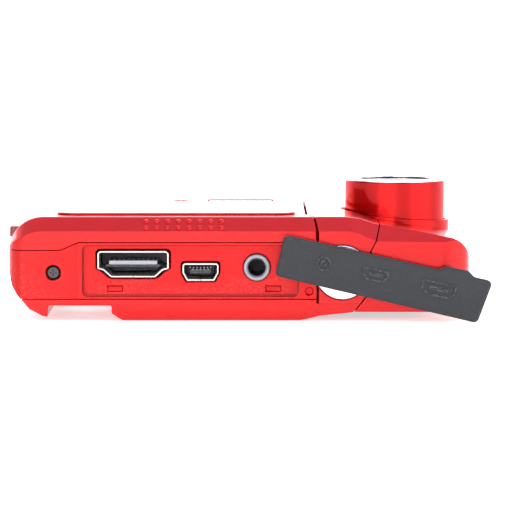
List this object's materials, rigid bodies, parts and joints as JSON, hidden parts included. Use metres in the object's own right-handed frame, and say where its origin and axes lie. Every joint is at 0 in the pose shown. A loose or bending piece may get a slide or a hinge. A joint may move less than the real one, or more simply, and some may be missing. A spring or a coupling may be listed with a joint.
{
  "type": "compact digital camera",
  "caption": "Slim compact digital camera lying on its back: extended round lens, recessed side-by-side sockets in the bottom face and a tethered socket cover swung open.",
  "frame": {"origin": "centre of the tripod socket's mouth, on the camera's bottom face", "axes": "+Z along the lens axis out of the front; +Y from the bottom face to the top; +X towards the lens end. The camera lies on its back on the rails of its rear cover"},
  "size_m": [0.0993, 0.0635, 0.0277],
  "materials": {
    "red_paint": "smooth metallic paint",
    "red_plastic": "fine satin paint over plastic",
    "door_red": "fine satin paint over plastic",
    "screen_glass": "black-backed clear window",
    "screen_panel": "matt metal and film",
    "dark_screw": "blackened steel",
    "port_steel": "bright nickel plate",
    "port_plastic": "moulded",
    "jack_metal": "satin",
    "board_green": "solder mask",
    "tin_shield": "pressed tin plate",
    "frame_black": "moulded",
    "gold_contact": "gold plate",
    "steel_plate": "stamped",
    "tripod_metal": "turned, bright",
    "speaker_black": "moulded",
    "flash_clear": "ribbed clear",
    "reflector_silver": "bright",
    "tube_glass": "frosted",
    "capacitor_sleeve": "shrink sleeve",
    "lamp_amber": "clear amber",
    "mic_metal": "satin",
    "barrel_red": "red anodised, glossy",
    "ring_silver": "bright machined edge",
    "barrel_black": "moulded",
    "lens_glass": "coated",
    "blade_grey": "thin blackened plate",
    "motor_steel": "plated",
    "button_silver": "satin metallised",
    "battery_label": "film sleeve",
    "card_blue": "moulded",
    "pin_steel": "ground",
    "catch_red": "dark red, moulded",
    "cover_grey": "soft-touch grey skin",
    "tether_grey": "moulded",
    "strap_steel": "polished"
  },
  "bodies": {
    "body": {"front_cover": "red_paint", "front_plate": "red_paint", "centre_band": "red_paint", "end_cover": "red_paint", "port_frame": "red_plastic", "rear_cover": "red_paint", "display_window": "screen_glass", "display_module": "screen_panel", "casing_screws": "dark_screw", "hdmi_shell": "port_steel", "hdmi_insert": "port_plastic", "usb_shell": "port_steel", "usb_insert": "port_plastic", "av_jack": "jack_metal", "port_board": "board_green", "main_board": "board_green", "processor_shield": "tin_shield", "battery_bay": "frame_black", "battery_contacts": "gold_contact", "card_slot": "steel_plate", "tripod_socket": "tripod_metal", "speaker": "speaker_black", "flash_window": "flash_clear", "flash_reflector": "reflector_silver", "flash_tube": "tube_glass", "flash_capacitor": "capacitor_sleeve", "af_lamp": "lamp_amber", "microphone": "mic_metal", "switch_board": "board_green", "keypad_board": "board_green", "lens_housing": "frame_black", "lens_trim_ring": "barrel_red", "zoom_motor": "motor_steel", "sensor_board": "board_green", "image_sensor": "frame_black", "rear_lens": "lens_glass", "door_pin": "pin_steel", "strap_bar": "strap_steel"},
    "outer_lens_stage": {"outer_barrel": "barrel_red", "barrel_front_ring": "ring_silver"},
    "inner_lens_stage": {"inner_barrel": "barrel_black", "inner_front_ring": "barrel_black", "front_lens": "lens_glass"},
    "barrier_leaf_a": {"barrier_blade_a": "blade_grey"},
    "barrier_leaf_b": {"barrier_blade_b": "blade_grey"},
    "shutter_button": {"shutter_button": "button_silver"},
    "zoom_lever": {"zoom_lever": "button_silver"},
    "power_button": {"power_button": "button_silver"},
    "record_button": {"record_button": "button_silver"},
    "playback_button": {"playback_button": "button_silver"},
    "menu_button": {"menu_button": "button_silver"},
    "delete_button": {"delete_button": "button_silver"},
    "control_pad": {"control_pad": "button_silver"},
    "ok_button": {"ok_button": "button_silver"},
    "battery": {"battery": "battery_label"},
    "memory_card": {"memory_card": "card_blue"},
    "battery_door": {"battery_door": "door_red"},
    "door_catch": {"door_catch": "catch_red"},
    "port_cover_tether": {"port_cover_tether": "tether_grey"},
    "port_cover": {"port_cover": "cover_grey"}
  },
  "joints": [
    {"name": "barrel_extend", "type": "slide", "parent": "body", "child": "outer_lens_stage", "axis": [0, 0, 1], "range_m": [-0.0066, 0]},
    {"name": "zoom_extend", "type": "slide", "parent": "outer_lens_stage", "child": "inner_lens_stage", "axis": [0, 0, 1], "range_m": [0, 0.006]},
    {"name": "barrier_close", "type": "hinge", "parent": "inner_lens_stage", "child": "barrier_leaf_a", "pos_m": [0.0118, 0.0211, 0.0153], "axis": [0, 0, 1], "range_deg": [0, 31.5]},
    {"name": "barrier_close_b", "type": "hinge", "parent": "inner_lens_stage", "child": "barrier_leaf_b", "pos_m": [0.0118, 0.0349, 0.0157], "axis": [0, 0, 1], "range_deg": [0, 31.5]},
    {"name": "shutter_press", "type": "slide", "parent": "body", "child": "shutter_button", "axis": [0, -1, 0], "range_m": [0, 0.0008], "stiffness_N_per_m": 600},
    {"name": "zoom_lever_turn", "type": "hinge", "parent": "body", "child": "zoom_lever", "pos_m": [-0.053, 0.058, 0.0003], "axis": [0, 1, 0], "range_deg": [-18, 18], "stiffness_Nm_per_rad": 0.01},
    {"name": "power_press", "type": "slide", "parent": "body", "child": "power_button", "axis": [0, -1, 0], "range_m": [0, 0.0005], "stiffness_N_per_m": 600},
    {"name": "record_press", "type": "slide", "parent": "body", "child": "record_button", "axis": [0, 0, 1], "range_m": [0, 0.00035], "stiffness_N_per_m": 800},
    {"name": "playback_press", "type": "slide", "parent": "body", "child": "playback_button", "axis": [0, 0, 1], "range_m": [0, 0.00035], "stiffness_N_per_m": 800},
    {"name": "menu_press", "type": "slide", "parent": "body", "child": "menu_button", "axis": [0, 0, 1], "range_m": [0, 0.00035], "stiffness_N_per_m": 800},
    {"name": "delete_press", "type": "slide", "parent": "body", "child": "delete_button", "axis": [0, 0, 1], "range_m": [0, 0.00035], "stiffness_N_per_m": 800},
    {"name": "pad_press", "type": "slide", "parent": "body", "child": "control_pad", "axis": [0, 0, 1], "range_m": [0, 0.0003], "stiffness_N_per_m": 900},
    {"name": "ok_press", "type": "slide", "parent": "body", "child": "ok_button", "axis": [0, 0, 1], "range_m": [0, 0.0004], "stiffness_N_per_m": 800},
    {"name": "door_swing", "type": "hinge", "parent": "body", "child": "battery_door", "pos_m": [-0.0666, 0.033, -0.0031], "axis": [0, -1, 0], "range_deg": [0, 72]},
    {"name": "battery_eject", "type": "slide", "parent": "body", "child": "battery", "axis": [-1, 0, 0], "range_m": [0, 0.005]},
    {"name": "card_push", "type": "slide", "parent": "body", "child": "memory_card", "axis": [1, 0, 0], "range_m": [0, 0.0008], "stiffness_N_per_m": 400},
    {"name": "catch_slide", "type": "slide", "parent": "body", "child": "door_catch", "axis": [0, 1, 0], "range_m": [0, 0.0015], "stiffness_N_per_m": 400},
    {"name": "cover_pull", "type": "slide", "parent": "body", "child": "port_cover_tether", "axis": [0, -1, 0], "range_m": [-0.0004, 0.0025]},
    {"name": "cover_swivel", "type": "hinge", "parent": "port_cover_tether", "child": "port_cover", "pos_m": [-0.01112, -0.002, 0.00209], "axis": [0, -1, 0], "range_deg": [0, 192.8]}
  ],
  "couplings": [
    {"joint": "barrier_close_b", "follows": "barrier_close", "ratio": 1},
    {"joint": "door_swing", "follows": "battery_eject", "rad_per_m": 251.32}
  ]
}
